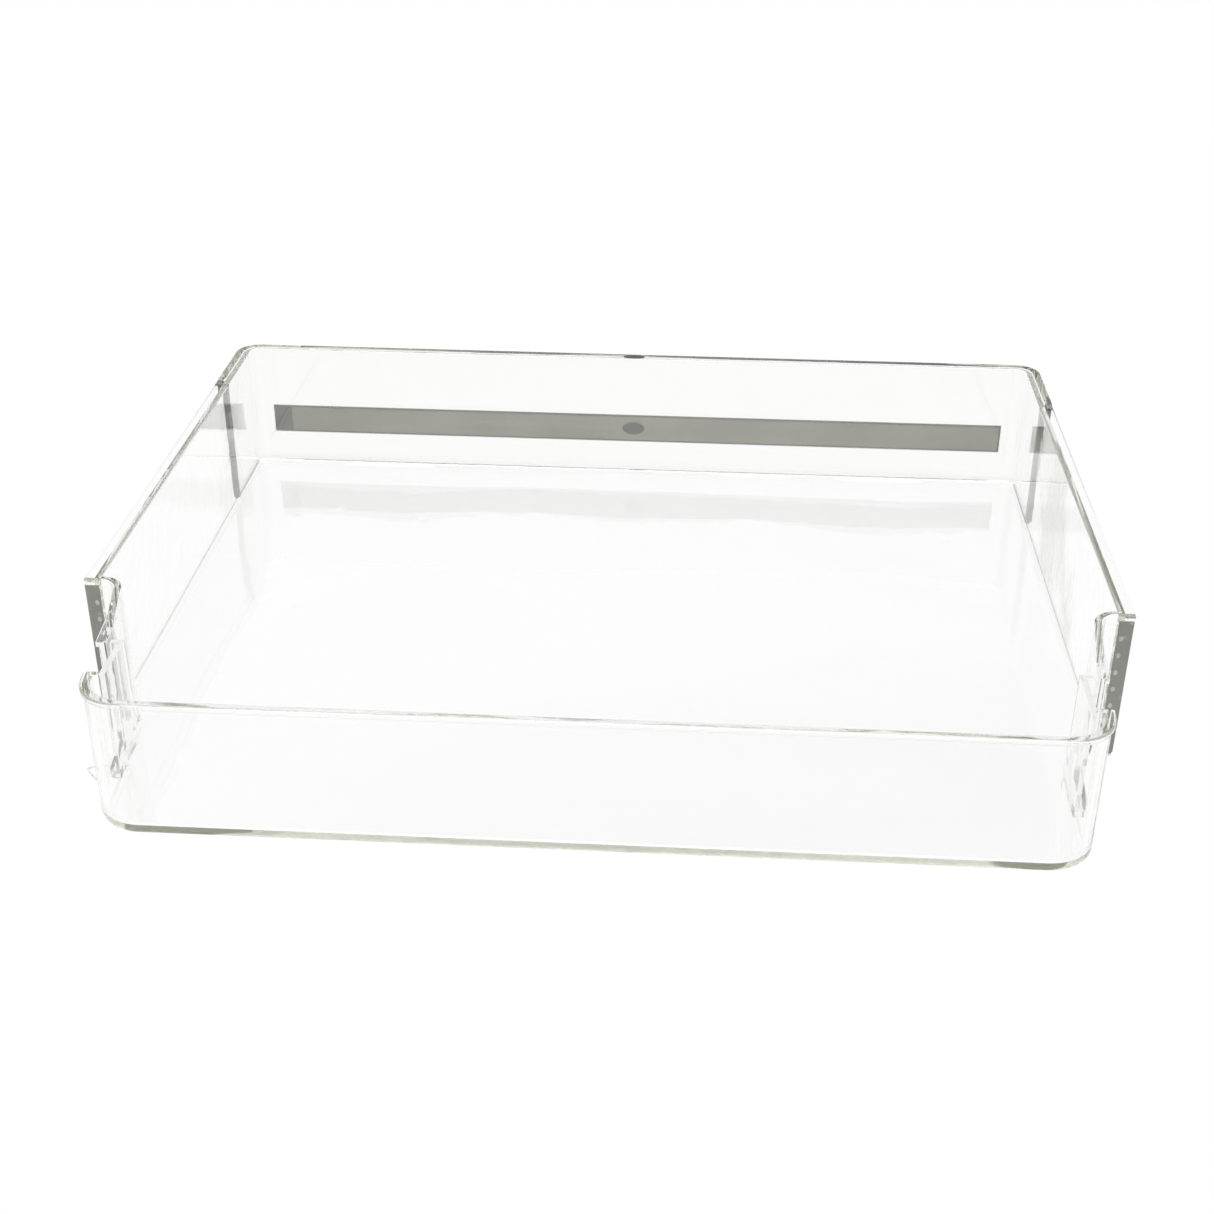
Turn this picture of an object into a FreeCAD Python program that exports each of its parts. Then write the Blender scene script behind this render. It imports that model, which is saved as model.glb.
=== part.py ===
"""Shallow clear drawer tray with a clip-on front cover, a trim strip and two end strips.

Frame: origin under the middle of the tray on the surface it stands on, +X across the tray,
+Y towards its front (the tall wall with the trim strip), +Z up. Millimetres.
"""
import FreeCAD
import Part
import os
import Sketcher

SHEET = "dims"

# Every driving dimension, in millimetres: (alias, value, what it measures)
DIMENSIONS = [
    ("total_depth", 318.0, "overall depth, rear rim bead to front cover"),
    ("rim_half_width", 192.6, "outer edge of the side flanges from the middle"),
    ("inner_half_width", 186.6, "inside face of the side walls from the middle"),
    ("front_height", 61.0, "top of the front part"),
    ("rear_height", 54.5, "top of the lower rear part"),
    ("wall", 2.6, "thickness of the tub walls"),
    ("floor_thick", 2.6, "thickness of the tub floor"),
    ("end_from_rear", 74.1, "rear outline to the step where the tub narrows"),
    ("rear_half_at_step", 180.0, "outside of the rear part at the step"),
    ("rear_half_at_back", 173.2, "outside of the rear part at the back, before rounding"),
    ("ramp_start", 24.0, "step back to where the rear rim starts to rise"),
    ("ramp_end", 5.0, "step back to where the rear rim is as high as the front part"),
    ("flange_thick", 2.4, "thickness of the side flanges and their end plates"),
    ("bead_out", 1.0, "how far the rear rim bead stands out"),
    ("bead_tall", 1.9, "height of the rear rim bead"),
    ("back_corner", 17.0, "outer radius of the two rear corners"),
    ("front_corner", 7.0, "outer radius of the two front corners"),
    ("step_corner", 6.0, "radius where the rear part meets the step"),
    ("foot_round", 3.0, "rounding of the outer bottom edge"),
    ("cover_foot_round", 2.0, "rounding of the front cover's bottom edge"),
    ("inner_round", 2.0, "rounding between the floor and the walls"),
    ("edge_round", 0.9, "rounding of the exposed rim edges"),
    ("slot_start", 17.5, "rear outline to the near end of a hanging slot"),
    ("slot_length", 24.0, "outside length of a hanging slot's housing"),
    ("slot_reach", 167.8, "inner face of the slot housings from the middle"),
    ("slot_skin", 2.2, "wall thickness of a slot housing"),
    ("slot_floor", 12.0, "height of the closed lower end of a slot housing"),
    ("lug_out", 5.5, "how far the catch lug stands out"),
    ("lug_tall", 10.0, "height of the catch lug"),
    ("lug_slope", 2.0, "height of the slope above the catch lug's tip"),
    ("lug_thick", 1.6, "thickness of the catch lug"),
    ("lug_low", 8.0, "lower tip of the catch lug above the base"),
    ("lug_from_rear", 17.0, "rear outline to the catch lug"),
    ("cover_thick", 3.2, "thickness of the front cover"),
    ("cover_gap", 0.2, "clearance between the tub and the front cover"),
    ("cover_wing", 48.0, "length of the cover's side wings"),
    ("hook_long", 9.0, "length of a cover hook along the flange"),
    ("hook_wide", 2.6, "width of a cover hook"),
    ("hook_root", 3.0, "length of a hook that stands on the cover"),
    ("hook_rise", 0.6, "how far a hook stands above the flange"),
    ("trim_half_length", 179.0, "half the length of the trim strip"),
    ("trim_height", 14.0, "height of the trim strip"),
    ("trim_low", 16.4, "lower edge of the trim strip above the base"),
    ("trim_thick", 0.8, "thickness of the trim strip"),
    ("film_thick", 0.2, "thickness of the trim strip's adhesive film"),
    ("film_inset", 1.0, "how far the film stops short of the strip's edges"),
    ("strip_thick", 0.8, "thickness of the end strips"),
    ("strip_inset", 0.3, "gap between an end strip and the end plate's edges"),
    ("strip_low", 1.2, "lower end of the end strips above the base"),
    ("strip_top_gap", 2.6, "top of the tub down to the end strips"),
    ("strip_round", 1.6, "rounding of the end strips' lower outer corner"),
    ("seat_gap", 0.2, "clearance round the trim strip in its seat"),
    ("overlap", 0.5, "how far an added block runs into the wall it joins"),
    ("cut_past", 5.0, "how far a cut runs past the faces it opens"),
]

# Dimensions that follow from the driving ones
DERIVED = [
    ("front_face", "=total_depth / 2"),
    ("rear_face", "=-total_depth / 2 + bead_out"),
    ("step_face", "=rear_face + end_from_rear"),
    ("cover_back", "=front_face - cover_thick"),
    ("tub_front", "=cover_back - cover_gap"),
    ("outer_half", "=inner_half_width + wall"),
    ("back_inner", "=rear_face + wall"),
    ("front_inner", "=tub_front - wall"),
    ("step_inner", "=step_face + wall"),
    ("slot_near", "=rear_face + slot_start"),
    ("slot_far", "=slot_near + slot_length"),
    ("wing_end", "=front_face - cover_wing"),
    ("flange_low", "=front_height - flange_thick"),
    ("bead_low", "=rear_height - bead_tall"),
    ("rear_taper", "=(rear_half_at_step - rear_half_at_back) / end_from_rear"),
    ("step_inner_half", "=rear_half_at_step - wall + rear_taper * wall"),
    ("cover_inner_half", "=outer_half + cover_gap"),
]

# The shortest straight edge along Z that counts as upright
SHORTEST_UPRIGHT = 1.0

doc = FreeCAD.newDocument("drawer_tray")
sheet = doc.addObject("Spreadsheet::Sheet", SHEET)


def fill_sheet():
    """Write the driving and derived dimensions, one row each, with their aliases."""
    row = 1
    for alias, value, meaning in DIMENSIONS:
        sheet.set(f"A{row}", meaning)
        sheet.set(f"B{row}", str(value))
        sheet.setAlias(f"B{row}", alias)
        row += 1
    for alias, formula in DERIVED:
        sheet.set(f"B{row}", formula)
        sheet.setAlias(f"B{row}", alias)
        row += 1
    doc.recompute()


def dim(alias):
    """The current value of a dimension."""
    return float(sheet.get(alias))


def bound(expression):
    """The expression with each sheet alias written as a reference to the sheet."""
    words = expression.split(" ")
    aliases = {entry[0] for entry in DIMENSIONS} | {entry[0] for entry in DERIVED}
    return " ".join(f"{SHEET}.{word}" if word in aliases else word for word in words)


def value_of(expression):
    """The number that a space-separated sum or difference of aliases stands for."""
    total = 0.0
    sign = 1.0
    for word in expression.split(" "):
        if word == "+":
            sign = 1.0
        elif word == "-":
            sign = -1.0
        elif word:
            number = dim(word) if word[0].isalpha() else float(word)
            total += sign * number
            sign = 1.0
    return total


def new_body(label):
    """A PartDesign body whose Label is the name of the piece."""
    body = doc.addObject("PartDesign::Body", label)
    body.Label = label
    return body


def plane_of(body, role):
    """One of the body's own origin planes."""
    return next(item for item in body.Origin.OriginFeatures if item.Role == role)


def outline(body, name, corners, level="0", role="XY_Plane"):
    """A closed polygon sketch; every corner is placed by two dimensions bound to the sheet.

    corners holds (first, second) expression pairs along the sketch's own axes, and level is
    the expression for the sketch's height above its plane.
    """
    sketch = body.newObject("Sketcher::SketchObject", name)
    sketch.AttachmentSupport = [(plane_of(body, role), "")]
    sketch.MapMode = "FlatFace"
    sketch.setExpression("AttachmentOffset.Base.z", bound(level))
    points = [FreeCAD.Vector(value_of(u), value_of(v), 0) for u, v in corners]
    count = len(points)
    for index in range(count):
        sketch.addGeometry(Part.LineSegment(points[index], points[(index + 1) % count]), False)
    for index in range(count):
        follower = (index + 1) % count
        sketch.addConstraint(Sketcher.Constraint("Coincident", index, 2, follower, 1))
    for index, (u, v) in enumerate(corners):
        for kind, axis, expression in (("DistanceX", "across", u), ("DistanceY", "along", v)):
            constraint = Sketcher.Constraint(kind, -1, 1, index, 1, value_of(expression))
            number = sketch.addConstraint(constraint)
            sketch.renameConstraint(number, f"{axis}_{index}")
            sketch.setExpression(f"Constraints.{axis}_{index}", bound(expression))
    return sketch


def pad(body, name, sketch, length):
    """Add material from a sketch, upwards by a bound length."""
    feature = body.newObject("PartDesign::Pad", name)
    feature.Profile = sketch
    feature.setExpression("Length", bound(length))
    doc.recompute()
    return feature


def pocket(body, name, sketch, length):
    """Cut upwards from a sketch by a bound length; the volume must drop."""
    before = body.Shape.Volume
    feature = body.newObject("PartDesign::Pocket", name)
    feature.Profile = sketch
    feature.Reversed = True
    feature.setExpression("Length", bound(length))
    doc.recompute()
    if body.Shape.Volume >= before:
        raise RuntimeError(f"{name} cuts nothing")
    return feature


def fillet(body, name, radius, wanted):
    """Round the edges of the body's last feature that the test picks."""
    base = body.Tip
    names = [f"Edge{number + 1}" for number, edge in enumerate(base.Shape.Edges) if wanted(edge)]
    feature = body.newObject("PartDesign::Fillet", name)
    feature.Base = (base, names)
    feature.setExpression("Radius", bound(radius))
    doc.recompute()
    return feature


def near(first, second, slack=0.05):
    """True when two lengths agree within the slack."""
    return abs(first - second) < slack


def is_upright(edge):
    """True for a straight vertical edge."""
    low, high = edge.Vertexes[0].Point, edge.Vertexes[-1].Point
    return near(low.x, high.x) and near(low.y, high.y) and abs(low.z - high.z) > SHORTEST_UPRIGHT


def lies_at(edge, level):
    """True when the whole edge lies at one height."""
    return near(edge.BoundBox.ZMin, level) and near(edge.BoundBox.ZMax, level)


def upright_at(across, along):
    """An edge test: a vertical edge at the given place, on either side of the tray."""
    def test(edge):
        point = edge.Vertexes[0].Point
        return is_upright(edge) and near(abs(point.x), across) and near(point.y, along)
    return test


def negated(expression):
    """The expression with its sign turned round."""
    swapped = {"+": "-", "-": "+"}
    return "0 - " + " ".join(swapped.get(word, word) for word in expression.split(" "))


def outer_foot_edge(edge):
    """An edge test: the short bottom edge along Y at the outermost width."""
    points = [vertex.Point for vertex in edge.Vertexes]
    outermost = all(near(abs(point.x), dim("rim_half_width")) for point in points)
    return lies_at(edge, edge.BoundBox.ZMin) and edge.BoundBox.ZMin < dim("foot_round") and outermost


def mirrored_plan(half):
    """A closed outline from its right half, listed from the back to the front."""
    return half + [(negated(across), along) for across, along in reversed(half)]


def box_corners(low_u, low_v, high_u, high_v):
    """The corners of a rectangle between two opposite corners."""
    return [(low_u, low_v), (high_u, low_v), (high_u, high_v), (low_u, high_v)]


def make_tray_body():
    """The clear tub: a wide tall front part, a narrower low rear part, flanges and hanging slots."""
    body = new_body("tray_body")
    rear_outer = [("rear_half_at_back", "rear_face"), ("rear_half_at_step", "step_face")]
    front_outer = [("outer_half", "step_face"), ("outer_half", "tub_front")]
    pad(body, "front_block", outline(body, "front_plan", mirrored_plan(front_outer)), "front_height")
    pad(body, "rear_block", outline(body, "rear_plan", mirrored_plan(rear_outer)), "front_height")
    rear_face, step_face, tub_front = dim("rear_face"), dim("step_face"), dim("tub_front")
    fillet(body, "back_corners", "back_corner", upright_at(dim("rear_half_at_back"), rear_face))
    fillet(body, "front_corners", "front_corner", upright_at(dim("outer_half"), tub_front))
    fillet(body, "step_corners", "step_corner", upright_at(dim("rear_half_at_step"), step_face))
    fillet(body, "foot", "foot_round", lambda edge: lies_at(edge, 0.0))
    add_rear_bead(body)
    add_flanges(body)
    add_catch_lug(body)
    cut_cavity(body)
    round_long_edges(body, "front_rim_edges", dim("front_height"))
    lower_rear_rim(body)
    add_hanging_slots(body)
    round_long_edges(body, "rear_rim_edges", dim("rear_height"))
    return body


def lower_rear_rim(body):
    """Cut the rear part down to its own height, with a ramp up to the front part at the step."""
    beyond = "rear_face - cut_past"
    above = "front_height + cut_past"
    profile = [(beyond, "rear_height"), ("step_face - ramp_start", "rear_height"),
               ("step_face - ramp_end", "front_height"), ("step_face - ramp_end", above),
               (beyond, above)]
    sketch = outline(body, "rear_rim_profile", profile, negated("rim_half_width"), "YZ_Plane")
    pocket(body, "rear_rim_cut", sketch, "rim_half_width + rim_half_width")


def add_rear_bead(body):
    """A bead round the outside of the low rear rim."""
    plan = [("rear_half_at_back + bead_out", "rear_face - bead_out"),
            ("rear_half_at_step + bead_out", "step_face")]
    sketch = outline(body, "bead_plan", mirrored_plan(plan), "bead_low")
    pad(body, "rear_bead", sketch, "bead_tall")
    corner = upright_at(dim("rear_half_at_back") + dim("bead_out"), dim("rear_face") - dim("bead_out"))
    fillet(body, "bead_corners", "back_corner + bead_out", corner)


def add_flanges(body):
    """The outward top flange of each side wall and the full-height plate at its rear end."""
    for side, turn in (("left", negated), ("right", str)):
        inner, outer = turn("inner_half_width"), turn("rim_half_width")
        top = box_corners(inner, "step_face", outer, "wing_end")
        sketch = outline(body, f"{side}_flange_plan", top, "flange_low")
        pad(body, f"{side}_flange", sketch, "flange_thick")
        end = box_corners(inner, "step_face", outer, "step_face + flange_thick")
        pad(body, f"{side}_end_plate", outline(body, f"{side}_end_plan", end), "front_height")
    fillet(body, "end_plate_corners", "strip_round", outer_foot_edge)


def add_catch_lug(body):
    """A small triangular lug low on the outside of the left rear corner."""
    root = negated("rear_half_at_back - overlap")
    skin = negated("rear_half_at_back")
    tip = negated("rear_half_at_back + lug_out")
    top = "lug_low + lug_tall"
    corners = [(root, "lug_low"), (skin, "lug_low"), (tip, f"{top} - lug_slope"), (skin, top),
               (root, top)]
    # The XZ plane faces the back of the tray, so heights above it count towards the back
    level = negated("rear_face + lug_from_rear")
    pad(body, "catch_lug", outline(body, "lug_profile", corners, level, "XZ_Plane"), "lug_thick")


def make_cavity_core():
    """The space inside the tub, from the floor up, with the same step in plan as the outside."""
    core = new_body("cavity_core")
    rear = [("rear_half_at_back - wall", "back_inner"), ("step_inner_half", "step_inner")]
    front = [("inner_half_width", "step_inner"), ("inner_half_width", "front_inner")]
    rear_sketch = outline(core, "rear_core_plan", mirrored_plan(rear), "floor_thick")
    pad(core, "rear_core", rear_sketch, "front_height")
    front_sketch = outline(core, "front_core_plan", mirrored_plan(front), "floor_thick")
    pad(core, "front_core", front_sketch, "front_height")
    back = upright_at(dim("rear_half_at_back") - dim("wall"), dim("back_inner"))
    fillet(core, "core_back_corners", "back_corner - wall", back)
    ahead = upright_at(dim("inner_half_width"), dim("front_inner"))
    fillet(core, "core_front_corners", "front_corner - wall", ahead)
    step = upright_at(dim("step_inner_half"), dim("step_inner"))
    fillet(core, "core_step_corners", "step_corner + wall", step)
    fillet(core, "core_floor", "inner_round", lambda edge: lies_at(edge, dim("floor_thick")))
    return core


def cut_cavity(body):
    """Hollow the tub with its core."""
    core = make_cavity_core()
    before = body.Shape.Volume
    cut = body.newObject("PartDesign::Boolean", "cavity")
    cut.Type = "Cut"
    cut.setObjects([core])
    body.Tip = cut
    doc.recompute()
    if body.Shape.Volume >= before:
        raise RuntimeError("the cavity cuts nothing")


def add_hanging_slots(body):
    """Two upright housings inside the rear part, each with a slot open to the outside and the top."""
    for side, turn in (("left", negated), ("right", str)):
        reach, wall_line = turn("slot_reach"), turn("rear_half_at_back - overlap")
        block = box_corners(reach, "slot_near", wall_line, "slot_far")
        sketch = outline(body, f"{side}_housing_plan", block, "slot_floor")
        pad(body, f"{side}_housing", sketch, "rear_height - slot_floor")
        inner, outer = turn("slot_reach + slot_skin"), turn("rim_half_width")
        hollow = box_corners(inner, "slot_near + slot_skin", outer, "slot_far - slot_skin")
        cut = outline(body, f"{side}_slot_plan", hollow, "slot_floor + slot_skin")
        pocket(body, f"{side}_slot", cut, "rear_height")


def round_long_edges(body, name, level):
    """Break the long exposed edges of the rim at one height."""
    long_edge = 40.0
    fillet(body, name, "edge_round", lambda edge: lies_at(edge, level) and edge.Length > long_edge)


def make_front_cover():
    """The clear U-shaped cover over the tub's front, with a seat for the trim strip and two hooks."""
    body = new_body("front_cover")
    outside = [("cover_inner_half", "wing_end"), ("rim_half_width", "wing_end"),
               ("rim_half_width", "front_face")]
    corner = "cover_inner_half"
    mirror_side = [(negated(across), along) for across, along in reversed(outside)]
    corners = [(corner, "cover_back")] + outside + mirror_side + [(negated(corner), "cover_back")]
    pad(body, "cover_shell", outline(body, "cover_plan", corners), "front_height")
    outer = upright_at(dim("rim_half_width"), dim("front_face"))
    fillet(body, "cover_corners", "front_corner + cover_thick", outer)
    inner = upright_at(dim("cover_inner_half"), dim("cover_back"))
    fillet(body, "cover_inner_corners", "front_corner", inner)
    fillet(body, "cover_foot", "cover_foot_round", is_outer_cover_foot)
    cut_trim_seat(body)
    for side, turn in (("left", negated), ("right", str)):
        plan = box_corners(turn("cover_inner_half"), "wing_end - hook_long + hook_root",
                           turn("cover_inner_half + hook_wide"), "wing_end + hook_root")
        hook = outline(body, f"{side}_hook_plan", plan, "front_height")
        pad(body, f"{side}_hook", hook, "hook_rise")
    return body


def is_outer_cover_foot(edge):
    """An edge test: the long outside bottom edge of the cover, round to its wings."""
    low = edge.BoundBox
    ahead = near(low.YMin, dim("front_face")) and near(low.YMax, dim("front_face"))
    beside = near(abs(low.XMin), dim("rim_half_width")) and near(low.XMin, low.XMax)
    return lies_at(edge, 0.0) and (ahead or beside)


def cut_trim_seat(body):
    """The shallow recess in the cover's front face that the trim strip lies in."""
    across = "trim_half_length + seat_gap"
    plan = box_corners(negated(across), "front_face - trim_thick - film_thick",
                       across, "front_face + cut_past")
    seat = outline(body, "trim_seat_plan", plan, "trim_low - seat_gap")
    pocket(body, "trim_seat", seat, "trim_height + seat_gap + seat_gap")


def make_plate(label, low, size):
    """A flat rectangular piece from its lowest corner and its three sizes, all bound."""
    plate = doc.addObject("Part::Box", label)
    plate.Label = label
    for axis, expression in zip(("x", "y", "z"), low):
        plate.setExpression(f"Placement.Base.{axis}", bound(expression))
    for name, expression in zip(("Length", "Width", "Height"), size):
        plate.setExpression(name, bound(expression))
    doc.recompute()
    return plate


def make_trim_strip():
    """The long opaque strip set into the front of the cover."""
    low = (negated("trim_half_length"), "front_face - trim_thick", "trim_low")
    size = ("trim_half_length + trim_half_length", "trim_thick", "trim_height")
    return make_plate("trim_strip", low, size)


def make_trim_film():
    """The double-sided film that holds the trim strip, a little smaller than the strip."""
    low = (negated("trim_half_length - film_inset"), "front_face - trim_thick - film_thick",
           "trim_low + film_inset")
    length = "trim_half_length + trim_half_length - film_inset - film_inset"
    size = (length, "film_thick", "trim_height - film_inset - film_inset")
    return make_plate("trim_adhesive", low, size)


def make_end_strip(side, turn):
    """A grey strip on the rear face of one end plate, rounded at its lower outer corner."""
    body = new_body(f"{side}_end_strip")
    plan = box_corners(turn("inner_half_width + strip_inset"), "step_face - strip_thick",
                       turn("rim_half_width - strip_inset"), "step_face")
    sketch = outline(body, f"{side}_strip_plan", plan, "strip_low")
    pad(body, f"{side}_strip", sketch, "front_height - strip_low - strip_top_gap")
    outermost = dim("rim_half_width") - dim("strip_inset")

    def lower_outer(edge):
        points = [vertex.Point for vertex in edge.Vertexes]
        return (lies_at(edge, dim("strip_low"))
                and all(near(abs(point.x), outermost) for point in points))

    fillet(body, f"{side}_strip_corner", "strip_round", lower_outer)
    return body


def check_and_export(pieces):
    """Stop on any failed object, then write each piece to its own file."""
    failed = [item.Label for item in doc.Objects if {"Invalid", "Error"} & set(item.State)]
    if failed:
        raise RuntimeError(f"failed objects: {failed}")
    for piece in pieces:
        shape = piece.Shape
        if shape.isNull() or not shape.isValid() or len(shape.Solids) != 1:
            raise RuntimeError(f"{piece.Label} is not one valid solid")
    os.makedirs("parts", exist_ok=True)
    for piece in pieces:
        box = piece.Shape.optimalBoundingBox()
        piece.Shape.exportStep(f"parts/{piece.Label}.step")
        print(f"{piece.Label}: x {box.XMin:.2f}..{box.XMax:.2f}, y {box.YMin:.2f}..{box.YMax:.2f}, "
              f"z {box.ZMin:.2f}..{box.ZMax:.2f}, {piece.Shape.Volume / 1000:.1f} cm3")


fill_sheet()
PIECES = [
    make_tray_body(),
    make_front_cover(),
    make_trim_strip(),
    make_trim_film(),
    make_end_strip("left", negated),
    make_end_strip("right", str),
]
doc.recompute()
check_and_export(PIECES)
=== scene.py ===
"""Looks for the clear drawer tray: detailed strips and marks, materials, camera and a plain white studio.

Metres, in the CAD frame: +X across the tray, +Y towards its tall front, +Z up.
"""
import math

import bmesh
import bpy
from mathutils import Matrix, Vector


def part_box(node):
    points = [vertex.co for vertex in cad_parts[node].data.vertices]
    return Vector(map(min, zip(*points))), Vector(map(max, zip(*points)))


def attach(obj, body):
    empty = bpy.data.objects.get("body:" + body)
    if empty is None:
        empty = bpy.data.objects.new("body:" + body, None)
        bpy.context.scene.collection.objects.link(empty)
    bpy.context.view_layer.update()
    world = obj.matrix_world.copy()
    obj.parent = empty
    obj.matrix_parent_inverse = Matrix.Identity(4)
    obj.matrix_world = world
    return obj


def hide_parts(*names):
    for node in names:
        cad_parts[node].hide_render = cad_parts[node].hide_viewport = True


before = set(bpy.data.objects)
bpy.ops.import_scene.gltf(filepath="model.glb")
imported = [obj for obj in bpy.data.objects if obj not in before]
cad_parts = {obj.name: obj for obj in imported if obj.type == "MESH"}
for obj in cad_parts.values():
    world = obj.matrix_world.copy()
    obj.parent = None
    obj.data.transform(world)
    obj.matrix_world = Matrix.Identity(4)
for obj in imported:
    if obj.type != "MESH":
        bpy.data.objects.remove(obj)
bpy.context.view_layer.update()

MM = 0.001

# How many parts ovals, rounded corners and the long strip are divided into
OVAL_STEPS = 40
CORNER_STEPS = 4
STRIP_CORNER_STEPS = 6
STRIP_STATIONS = 24

# ---------------------------------------------------------------- node helpers


def new_material(name):
    """An empty node material and its node tree."""
    material = bpy.data.materials.new(name)
    material.use_nodes = True
    material.node_tree.nodes.clear()
    return material, material.node_tree


def add_node(tree, kind, **settings):
    """A shader node; settings name its properties."""
    node = tree.nodes.new(kind)
    for key, value in settings.items():
        setattr(node, key, value)
    return node


def principled(tree):
    """A Principled shader joined to the material output."""
    shader = tree.nodes.new("ShaderNodeBsdfPrincipled")
    output = tree.nodes.new("ShaderNodeOutputMaterial")
    link(tree, shader.outputs[0], output.inputs["Surface"])
    return shader


def link(tree, source, target):
    """Join an output socket to an input socket."""
    tree.links.new(source, target)


def math_node(tree, operation, first, second):
    """A Math node; either operand is a socket or a number."""
    node = add_node(tree, "ShaderNodeMath", operation=operation)
    for index, operand in enumerate((first, second)):
        if isinstance(operand, (int, float)):
            node.inputs[index].default_value = operand
        else:
            link(tree, operand, node.inputs[index])
    return node.outputs[0]


def noise(tree, scale, detail=3.0, roughness=0.5, stretch=None):
    """Noise with scale features to the metre, optionally stretched along the object's axes."""
    coords = tree.nodes.new("ShaderNodeTexCoord")
    texture = tree.nodes.new("ShaderNodeTexNoise")
    texture.inputs["Scale"].default_value = scale
    texture.inputs["Detail"].default_value = detail
    texture.inputs["Roughness"].default_value = roughness
    place = coords.outputs["Object"]
    if stretch:
        mapping = tree.nodes.new("ShaderNodeMapping")
        mapping.inputs["Scale"].default_value = stretch
        link(tree, place, mapping.inputs["Vector"])
        place = mapping.outputs[0]
    link(tree, place, texture.inputs["Vector"])
    return texture.outputs["Fac"]


def bump(tree, height, strength, distance):
    """A bump from a height socket, in metres."""
    node = tree.nodes.new("ShaderNodeBump")
    node.inputs["Strength"].default_value = strength
    node.inputs["Distance"].default_value = distance
    link(tree, height, node.inputs["Height"])
    return node.outputs[0]


def spread(tree, factor, low, high, dark, light):
    """Remap a 0 to 1 factor between low and high to values from dark to light."""
    node = tree.nodes.new("ShaderNodeMapRange")
    for name, value in (("From Min", low), ("From Max", high), ("To Min", dark), ("To Max", light)):
        node.inputs[name].default_value = value
    link(tree, factor, node.inputs["Value"])
    return node.outputs[0]


def spots(tree, scale, radius):
    """Scattered round spots: 1 inside a spot and 0 outside, radius as a share of the spacing."""
    core_share = 0.6
    coords = tree.nodes.new("ShaderNodeTexCoord")
    cells = tree.nodes.new("ShaderNodeTexVoronoi")
    cells.inputs["Scale"].default_value = scale
    link(tree, coords.outputs["Object"], cells.inputs["Vector"])
    return spread(tree, cells.outputs["Distance"], radius * core_share, radius, 1.0, 0.0)


def clear_plastic(name, uptake):
    """Polished clear plastic: moulding waves, handling haze, scuff spots and a tint that grows with depth.

    uptake is how much red, green and blue a metre of the plastic takes up. Rays from lamps and
    diffuse surfaces pass straight through, so that light reaches what lies behind.
    """
    near_white = 0.99
    refractive_index = 1.5
    waves_scale, ripple_scale, ripple_share = 9.0, 55.0, 0.06
    relief_height = 1.6 * MM
    haze_scale, haze_from, haze_to = 38.0, 0.42, 0.75
    polished, hazy = 0.012, 0.075
    scuff_scale, scuff_radius, scuff_roughness = 13.0, 0.035, 0.35
    material, tree = new_material(name)
    glass = tree.nodes.new("ShaderNodeBsdfPrincipled")
    glass.inputs["Base Color"].default_value = (near_white, near_white, near_white, 1)
    glass.inputs["IOR"].default_value = refractive_index
    glass.inputs["Transmission Weight"].default_value = 1.0
    waves = noise(tree, waves_scale, detail=1.0)
    ripple = math_node(tree, "MULTIPLY", noise(tree, ripple_scale, detail=2.0), ripple_share)
    relief = math_node(tree, "ADD", waves, ripple)
    link(tree, bump(tree, relief, 1.0, relief_height), glass.inputs["Normal"])
    smears = noise(tree, haze_scale, detail=6.0, roughness=0.7)
    haze = spread(tree, smears, haze_from, haze_to, polished, hazy)
    scuffs = math_node(tree, "MULTIPLY", spots(tree, scuff_scale, scuff_radius), scuff_roughness)
    link(tree, math_node(tree, "ADD", haze, scuffs), glass.inputs["Roughness"])
    clear = tree.nodes.new("ShaderNodeBsdfTransparent")
    path = tree.nodes.new("ShaderNodeLightPath")
    shadow_ray, diffuse_ray = path.outputs["Is Shadow Ray"], path.outputs["Is Diffuse Ray"]
    lamp_side = math_node(tree, "MAXIMUM", shadow_ray, diffuse_ray)
    mix = tree.nodes.new("ShaderNodeMixShader")
    link(tree, lamp_side, mix.inputs[0])
    link(tree, glass.outputs[0], mix.inputs[1])
    link(tree, clear.outputs[0], mix.inputs[2])
    depth_tint = tree.nodes.new("ShaderNodeVolumeAbsorption")
    # The volume takes up density * (1 - colour); headroom keeps every colour above nought
    headroom = 1.25
    density = max(uptake) * headroom
    depth_tint.inputs["Color"].default_value = (*(1 - amount / density for amount in uptake), 1)
    depth_tint.inputs["Density"].default_value = density
    output = tree.nodes.new("ShaderNodeOutputMaterial")
    link(tree, mix.outputs[0], output.inputs["Surface"])
    link(tree, depth_tint.outputs[0], output.inputs["Volume"])
    return material


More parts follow.
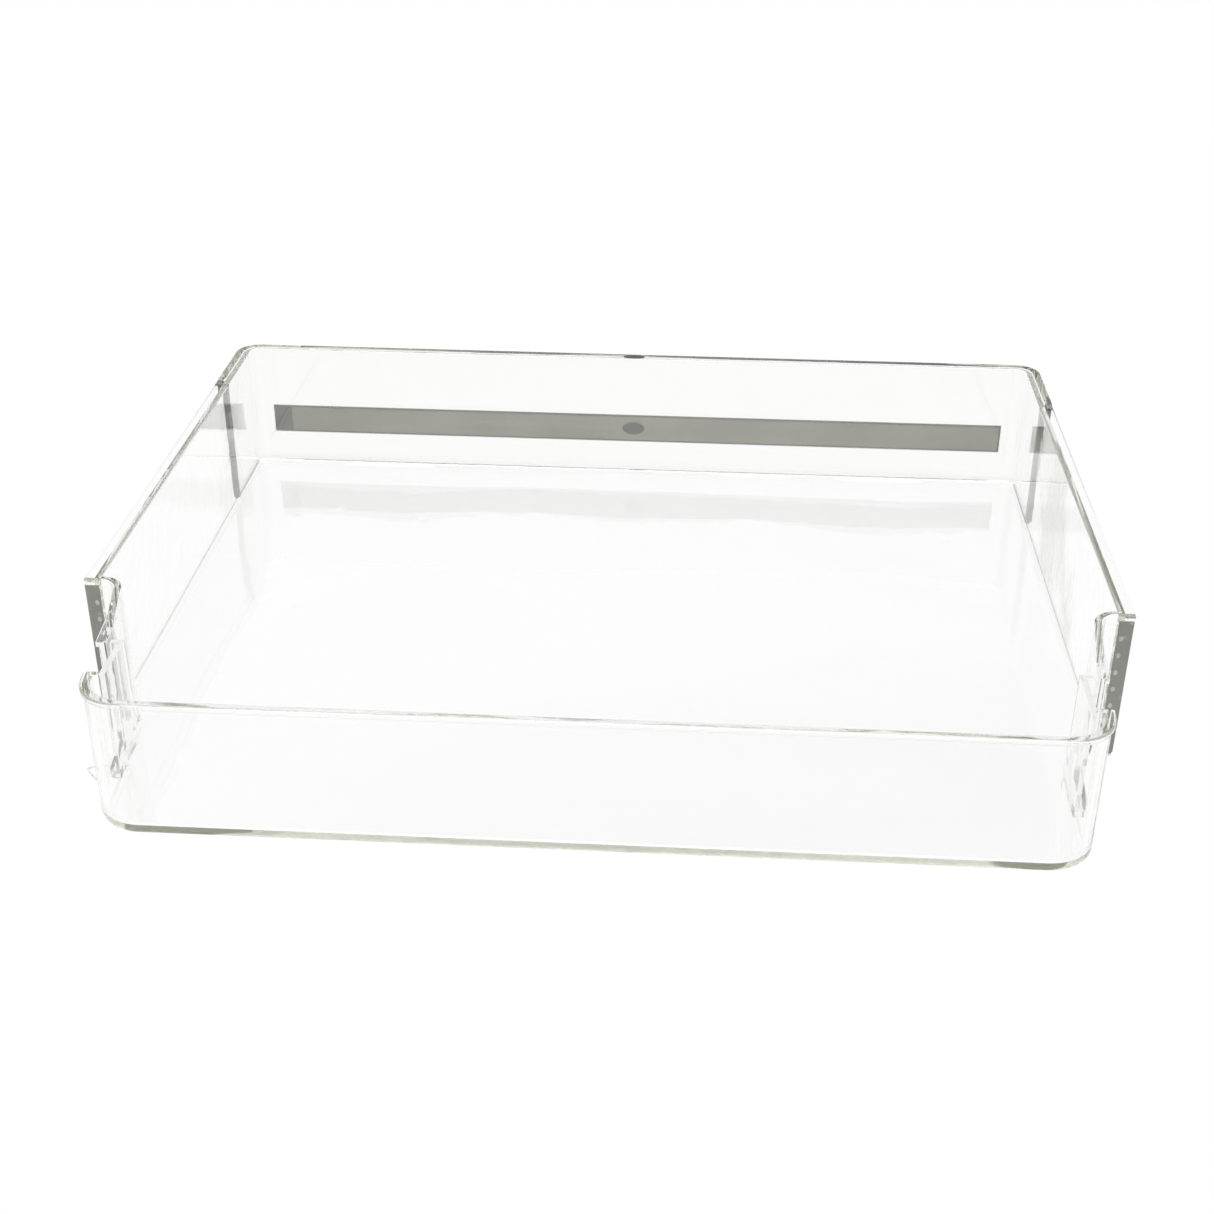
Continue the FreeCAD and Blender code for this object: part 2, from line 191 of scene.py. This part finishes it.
def grey_plastic(name, colour, roughness, wear=0.5):
    """Satin grey moulded plastic: brushed along X, fine grain, colour drift and worn lighter flecks."""
    drift_scale, brush_scale, grain_scale = 30.0, 260.0, 900.0
    along_brush = (0.06, 1.0, 1.0)
    drift_share, brush_share = 0.6, 0.4
    tone_from, tone_to = 0.3, 0.7
    darkest, lightest, worn_gain = 0.86, 1.12, 1.5
    fleck_scale, fleck_radius = 190.0, 0.16
    smoother, rougher = 0.06, 0.1
    grain_strength, grain_height = 0.25, 0.1 * MM
    material, tree = new_material(name)
    shader = principled(tree)
    shader.inputs["Specular IOR Level"].default_value = 0.35
    drift = noise(tree, drift_scale, detail=4.0)
    brushed = noise(tree, brush_scale, detail=2.0, stretch=along_brush)
    drift_part = math_node(tree, "MULTIPLY", drift, drift_share)
    brush_part = math_node(tree, "MULTIPLY", brushed, brush_share)
    ramp = tree.nodes.new("ShaderNodeValToRGB")
    for element, gain in zip(ramp.color_ramp.elements, (darkest, lightest)):
        element.color = (*(channel * gain for channel in colour), 1)
    ramp.color_ramp.elements[0].position = tone_from
    ramp.color_ramp.elements[1].position = tone_to
    link(tree, math_node(tree, "ADD", drift_part, brush_part), ramp.inputs[0])
    flecks = math_node(tree, "MULTIPLY", spots(tree, fleck_scale, fleck_radius), wear)
    worn = add_node(tree, "ShaderNodeMix", data_type="RGBA")
    # Inputs 6 and 7 and output 2 are the colour sockets of a Mix node
    link(tree, flecks, worn.inputs["Factor"])
    link(tree, ramp.outputs[0], worn.inputs[6])
    worn.inputs[7].default_value = (*(min(channel * worn_gain, 1.0) for channel in colour), 1)
    link(tree, worn.outputs[2], shader.inputs["Base Color"])
    gloss = spread(tree, drift, tone_from, tone_to, roughness - smoother, roughness + rougher)
    link(tree, gloss, shader.inputs["Roughness"])
    grain = noise(tree, grain_scale, detail=2.0)
    link(tree, bump(tree, grain, grain_strength, grain_height), shader.inputs["Normal"])
    return material


# ---------------------------------------------------------------- pieces


def set_material(node, material):
    """Give a CAD node that stays in view its look."""
    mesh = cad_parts[node].data
    mesh.materials.clear()
    mesh.materials.append(material)
    for face in mesh.polygons:
        face.material_index = 0


def finish_piece(name, shape, material, node=None):
    """Turn a bmesh into a piece of the tray, in the CAD frame, standing for a CAD node if one is named."""
    bmesh.ops.recalc_face_normals(shape, faces=shape.faces)
    mesh = bpy.data.meshes.new(name)
    shape.to_mesh(mesh)
    shape.free()
    mesh.materials.append(material)
    piece = bpy.data.objects.new(name, mesh)
    bpy.context.scene.collection.objects.link(piece)
    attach(piece, "root")
    if node:
        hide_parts(node)
    return piece


def extruded_ring(shape, sections):
    """Skin a row of equal-length point rings into a closed solid with flat ends."""
    rings = [[shape.verts.new(point) for point in section] for section in sections]
    count = len(rings[0])
    for first, second in zip(rings, rings[1:]):
        for index in range(count):
            follower = (index + 1) % count
            shape.faces.new((first[index], first[follower], second[follower], second[index]))
    shape.faces.new(list(reversed(rings[0])))
    shape.faces.new(rings[-1])


def shrunk(section, amount):
    """A (y, z) outline pulled towards its middle by an amount on each side."""
    mid_y = (max(y for y, z in section) + min(y for y, z in section)) / 2
    mid_z = (max(z for y, z in section) + min(z for y, z in section)) / 2
    half_y = max(y for y, z in section) - mid_y
    half_z = max(z for y, z in section) - mid_z
    scale_y = 1 - amount / half_y
    scale_z = 1 - amount / half_z
    return [(mid_y + (y - mid_y) * scale_y, mid_z + (z - mid_z) * scale_z) for y, z in section]


def oval(centre_x, centre_z, half_x, half_z, count):
    """Points round an ellipse in the XZ plane."""
    turns = [2 * math.pi * index / count for index in range(count)]
    return [(centre_x + half_x * math.cos(turn), centre_z + half_z * math.sin(turn)) for turn in turns]


def rounded_corners(low, high, radius):
    """A rectangle outline with rounded corners, anticlockwise from the lower right."""
    points = []
    corners = ((high[0] - radius, low[1] + radius, -90), (high[0] - radius, high[1] - radius, 0),
               (low[0] + radius, high[1] - radius, 90), (low[0] + radius, low[1] + radius, 180))
    for middle_x, middle_z, start in corners:
        for step in range(CORNER_STEPS + 1):
            turn = math.radians(start + 90 * step / CORNER_STEPS)
            points.append((middle_x + radius * math.cos(turn), middle_z + radius * math.sin(turn)))
    return points


def make_trim_strip(material):
    """The trim strip: softened edges, two fine grooves along its front and chamfered ends."""
    low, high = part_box("trim_strip")
    edge = 0.25 * MM
    groove_in = 0.14 * MM
    groove_half = 0.35 * MM
    groove_from_edge = 1.9 * MM
    front, back = high.y, low.y
    profile = [(back, low.z + edge), (back, high.z - edge), (back + edge, high.z)]
    profile += [(front - edge, high.z), (front, high.z - edge)]
    for middle in (high.z - groove_from_edge, low.z + groove_from_edge):
        profile += [(front, middle + groove_half), (front - groove_in, middle)]
        profile += [(front, middle - groove_half)]
    profile += [(front, low.z + edge), (front - edge, low.z), (back + edge, low.z)]
    run = (high.x - low.x - 2 * edge) / STRIP_STATIONS
    stations = [(low.x, shrunk(profile, edge))]
    stations += [(low.x + edge + run * station, profile) for station in range(STRIP_STATIONS + 1)]
    stations += [(high.x, shrunk(profile, edge))]
    shape = bmesh.new()
    extruded_ring(shape, [[(x, y, z) for y, z in section] for x, section in stations])
    return finish_piece("trim_strip_visual", shape, material, "trim_strip")


def make_trim_film(material):
    """The adhesive film: rounded corners, short of the strip's left end, with an oval opening midway."""
    low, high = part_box("trim_adhesive")
    left_gap = 8.0 * MM
    half_opening = (5.5 * MM, 3.4 * MM)
    corner = 0.8 * MM
    left = low.x + left_gap
    middle_z = (low.z + high.z) / 2
    opening = oval(0.0, middle_z, *half_opening, OVAL_STEPS)
    outline = rounded_corners((left, low.z), (high.x, high.z), corner)
    shape = bmesh.new()
    loops = []
    for level in (low.y, high.y):
        outer = [shape.verts.new((x, level, z)) for x, z in outline]
        inner = [shape.verts.new((x, level, z)) for x, z in opening]
        edges = [shape.edges.new((ring[index], ring[(index + 1) % len(ring)]))
                 for ring in (outer, inner) for index in range(len(ring))]
        bmesh.ops.triangle_fill(shape, edges=edges, use_beauty=True)
        loops.append((outer, inner))
    for ring_low, ring_high in zip(*loops):
        for index in range(len(ring_low)):
            follower = (index + 1) % len(ring_low)
            lower, upper = (ring_low[index], ring_low[follower]), (ring_high[follower], ring_high[index])
            shape.faces.new(lower + upper)
    return finish_piece("trim_film_visual", shape, material, "trim_adhesive")


def add_dome(shape, centre, half, rings=4, around=28):
    """A shallow dome with an elliptical foot; half is its half width, half length and height."""
    levels = []
    for ring in range(rings):
        climb = math.pi / 2 * ring / rings
        level = []
        for step in range(around):
            turn = 2 * math.pi * step / around
            level.append(shape.verts.new((centre[0] + half[0] * math.cos(climb) * math.cos(turn),
                                          centre[1] + half[1] * math.cos(climb) * math.sin(turn),
                                          centre[2] + half[2] * math.sin(climb))))
        levels.append(level)
    top = shape.verts.new((centre[0], centre[1], centre[2] + half[2]))
    for lower, upper in zip(levels, levels[1:]):
        for step in range(around):
            follower = (step + 1) % around
            shape.faces.new((lower[step], lower[follower], upper[follower], upper[step]))
    for step in range(around):
        shape.faces.new((levels[-1][step], levels[-1][(step + 1) % around], top))
    shape.faces.new(list(reversed(levels[0])))


def dome_facing_back(place, half, **detail):
    """A bmesh dome that stands out towards -Y from a place; half as for add_dome."""
    shape = bmesh.new()
    add_dome(shape, (0.0, 0.0, 0.0), half, **detail)
    up_to_back = Matrix(((1, 0, 0), (0, 0, -1), (0, 1, 0)))
    bmesh.ops.transform(shape, matrix=up_to_back.to_4x4(), verts=shape.verts)
    bmesh.ops.translate(shape, vec=place, verts=shape.verts)
    return shape


def make_gate_mark(material):
    """The small dark oval gate mark in the middle of the front's top edge."""
    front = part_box("front_cover")[1].y
    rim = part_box("tray_body")[1].z
    from_front = 3.0 * MM
    half = (5.2 * MM, 2.3 * MM, 0.18 * MM)
    shape = bmesh.new()
    add_dome(shape, (0.0, front - from_front, rim), half)
    return finish_piece("gate_mark", shape, material)


def make_strip_boss(material):
    """The oval moulding boss on the back of the trim strip, seen through the opening in the film."""
    low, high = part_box("trim_adhesive")
    below_film = 0.02 * MM
    half = (5.0 * MM, 3.0 * MM, high.y - low.y - below_film)
    shape = dome_facing_back((0.0, high.y, (low.z + high.z) / 2), half)
    return finish_piece("trim_boss", shape, material)


def make_end_strip(side, material, mark_material):
    """A grey end strip: softened edges, a rounded lower outer corner and a column of small raised marks."""
    node = f"{side}_end_strip"
    low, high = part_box(node)
    sign = -1.0 if side == "left" else 1.0
    corner, edge, mark_height = 1.6 * MM, 0.2 * MM, 0.12 * MM
    marks, mark_inwards = 7, 1.2 * MM
    half_mark = (0.8 * MM, 1.1 * MM, mark_height)
    inner_x, outer_x = (high.x, low.x) if side == "left" else (low.x, high.x)
    outline = [(inner_x, high.z), (inner_x, low.z)]
    for step in range(STRIP_CORNER_STEPS + 1):
        turn = math.pi / 2 * step / STRIP_CORNER_STEPS
        across = outer_x - sign * corner * (1 - math.sin(turn))
        outline.append((across, low.z + corner * (1 - math.cos(turn))))
    outline.append((outer_x, high.z))
    middle_x, middle_z = (low.x + high.x) / 2, (low.z + high.z) / 2
    narrow = 1 - edge / ((high.x - low.x) / 2)
    short = 1 - edge / ((high.z - low.z) / 2)
    inset = [(middle_x + (x - middle_x) * narrow, middle_z + (z - middle_z) * short) for x, z in outline]
    back = low.y + mark_height
    layers = ((high.y, inset), (high.y - edge, outline), (back + edge, outline), (back, inset))
    shape = bmesh.new()
    extruded_ring(shape, [[(x, level, z) for x, z in ring] for level, ring in layers])
    spacing = (high.z - low.z) / (marks + 1)
    for mark in range(marks):
        place = (middle_x - sign * mark_inwards, back, low.z + spacing * (mark + 1))
        dome = dome_facing_back(place, half_mark, rings=3, around=14)
        for face in dome.faces:
            face.material_index = 1
        copy = bpy.data.meshes.new("mark")
        dome.to_mesh(copy)
        dome.free()
        shape.from_mesh(copy)
        bpy.data.meshes.remove(copy)
    piece = finish_piece(f"{side}_end_visual", shape, material, node)
    piece.data.materials.append(mark_material)
    return piece


# What a metre of each clear plastic takes up of red, green and blue
TUB_UPTAKE = (1.5, 1.42, 1.8)
COVER_UPTAKE = (6.4, 6.0, 8.4)

set_material("tray_body", clear_plastic("clear_tub", TUB_UPTAKE))
set_material("front_cover", clear_plastic("clear_cover", COVER_UPTAKE))
make_trim_strip(grey_plastic("trim_grey", (0.19, 0.19, 0.17), 0.34))
make_trim_film(grey_plastic("film", (0.385, 0.385, 0.335), 0.55, wear=0.3))
make_gate_mark(grey_plastic("mark_grey", (0.05, 0.05, 0.047), 0.4, wear=0.25))
make_strip_boss(grey_plastic("boss_grey", (0.125, 0.125, 0.11), 0.4, wear=0.9))
mark_light = grey_plastic("mark_light", (0.46, 0.46, 0.43), 0.3, wear=0.3)
end_grey = grey_plastic("end_grey", (0.245, 0.25, 0.225), 0.42, wear=0.7)
for side in ("left", "right"):
    make_end_strip(side, end_grey, mark_light)

# ---------------------------------------------------------------- studio


def make_floor():
    """A plain pale floor that shows white to the eye and through the plastic alike, and keeps shadows."""
    mesh = bpy.data.meshes.new("floor")
    half = 6.0
    level = -0.4 * MM
    paleness = 0.9
    glow_share = 0.9
    mesh.from_pydata([(-half, -half, level), (half, -half, level), (half, half, level),
                      (-half, half, level)], [], [(0, 1, 2, 3)])
    floor = bpy.data.objects.new("floor", mesh)
    bpy.context.scene.collection.objects.link(floor)
    material, tree = new_material("floor_white")
    diffuse = tree.nodes.new("ShaderNodeBsdfDiffuse")
    diffuse.inputs["Color"].default_value = (paleness, paleness, paleness, 1)
    glow = tree.nodes.new("ShaderNodeEmission")
    path = tree.nodes.new("ShaderNodeLightPath")
    seen, through = path.outputs["Is Camera Ray"], path.outputs["Is Transmission Ray"]
    glow.inputs["Strength"].default_value = 1.0
    mix = tree.nodes.new("ShaderNodeMixShader")
    through_or_mirrored = math_node(tree, "MAXIMUM", through, path.outputs["Is Glossy Ray"])
    shown = math_node(tree, "MAXIMUM", seen, through_or_mirrored)
    link(tree, math_node(tree, "MULTIPLY", shown, glow_share), mix.inputs[0])
    link(tree, diffuse.outputs[0], mix.inputs[1])
    link(tree, glow.outputs[0], mix.inputs[2])
    output = tree.nodes.new("ShaderNodeOutputMaterial")
    link(tree, mix.outputs[0], output.inputs["Surface"])
    mesh.materials.append(material)


# How bright the studio is by height above the horizon: (sine of the elevation, brightness)
STUDIO_BANDS = [
    (0.0, 0.55), (0.2, 0.75), (0.38, 0.95), (0.5, 0.9), (0.62, 0.6), (0.8, 0.8), (1.0, 1.2),
]


def make_world():
    """A white studio to the eye; to light and reflections, soft bands that tilt across the tray."""
    tilt_across, wobble_scale, wobble_by = 0.35, 2.2, 0.06
    world = bpy.data.worlds.new("studio")
    bpy.context.scene.world = world
    world.use_nodes = True
    tree = world.node_tree
    tree.nodes.clear()
    coords = tree.nodes.new("ShaderNodeTexCoord")
    split = tree.nodes.new("ShaderNodeSeparateXYZ")
    link(tree, coords.outputs["Generated"], split.inputs[0])
    wobble = tree.nodes.new("ShaderNodeTexNoise")
    wobble.inputs["Scale"].default_value = wobble_scale
    link(tree, coords.outputs["Generated"], wobble.inputs["Vector"])
    tilt = math_node(tree, "MULTIPLY", split.outputs["X"], tilt_across)
    level = math_node(tree, "ADD", split.outputs["Z"], tilt)
    waver = spread(tree, wobble.outputs["Fac"], 0.0, 1.0, -wobble_by, wobble_by)
    ramp = tree.nodes.new("ShaderNodeValToRGB")
    elements = ramp.color_ramp.elements
    while len(elements) < len(STUDIO_BANDS):
        elements.new(0.5)
    for element, (height, brightness) in zip(elements, STUDIO_BANDS):
        element.position = height
        element.color = (brightness, brightness, brightness, 1)
    link(tree, math_node(tree, "ADD", level, waver), ramp.inputs[0])
    shade = tree.nodes.new("ShaderNodeBackground")
    link(tree, ramp.outputs[0], shade.inputs["Color"])
    white = tree.nodes.new("ShaderNodeBackground")
    white.inputs["Color"].default_value = (1, 1, 1, 1)
    mix = tree.nodes.new("ShaderNodeMixShader")
    path = tree.nodes.new("ShaderNodeLightPath")
    link(tree, path.outputs["Is Camera Ray"], mix.inputs[0])
    link(tree, shade.outputs[0], mix.inputs[1])
    link(tree, white.outputs[0], mix.inputs[2])
    output = tree.nodes.new("ShaderNodeOutputWorld")
    link(tree, mix.outputs[0], output.inputs["Surface"])


def area_light(name, place, target, size, power):
    """A rectangular softbox turned to face a target, its power in watts."""
    data = bpy.data.lights.new(name, "AREA")
    data.shape = "RECTANGLE"
    data.size, data.size_y = size
    data.energy = power
    lamp = bpy.data.objects.new(name, data)
    bpy.context.scene.collection.objects.link(lamp)
    lamp.location = place
    direction = Vector(target) - Vector(place)
    lamp.rotation_euler = direction.to_track_quat("-Z", "Y").to_euler()


def make_camera():
    """A camera behind and above the tray, looking at the inside of its tall front."""
    pitch, yaw, roll = (math.radians(angle) for angle in (29.23, -3.47, -0.31))
    level_share = math.cos(pitch)
    forward = Vector((math.sin(yaw) * level_share, math.cos(yaw) * level_share, -math.sin(pitch)))
    right = Vector((math.cos(yaw), -math.sin(yaw), 0.0))
    down = forward.cross(right)
    across = math.cos(roll) * right + math.sin(roll) * down
    below = -math.sin(roll) * right + math.cos(roll) * down
    data = bpy.data.cameras.new("camera")
    sensor_in_mm, lens_in_mm = 36.0, 52.60626
    data.sensor_width = sensor_in_mm
    data.lens = lens_in_mm
    camera = bpy.data.objects.new("camera", data)
    bpy.context.scene.collection.objects.link(camera)
    turn = Matrix((across, -below, -forward)).transposed().to_4x4()
    place = Vector((36.3, -649.7, 373.8)) * MM
    camera.matrix_world = Matrix.Translation(place) @ turn
    bpy.context.scene.camera = camera


make_floor()
make_world()
area_light("top_softbox", place=(0.0, 0.3, 1.6), target=(0, 0, 0), size=(1.6, 1.2), power=14.0)
make_camera()
scene = bpy.context.scene
scene.view_settings.view_transform = "Standard"
# Light piped along a clear wall or floor is reflected inside it many times before it leaves
INNER_REFLECTIONS = 320
scene.cycles.max_bounces = INNER_REFLECTIONS
scene.cycles.transmission_bounces = INNER_REFLECTIONS
scene.cycles.glossy_bounces = INNER_REFLECTIONS
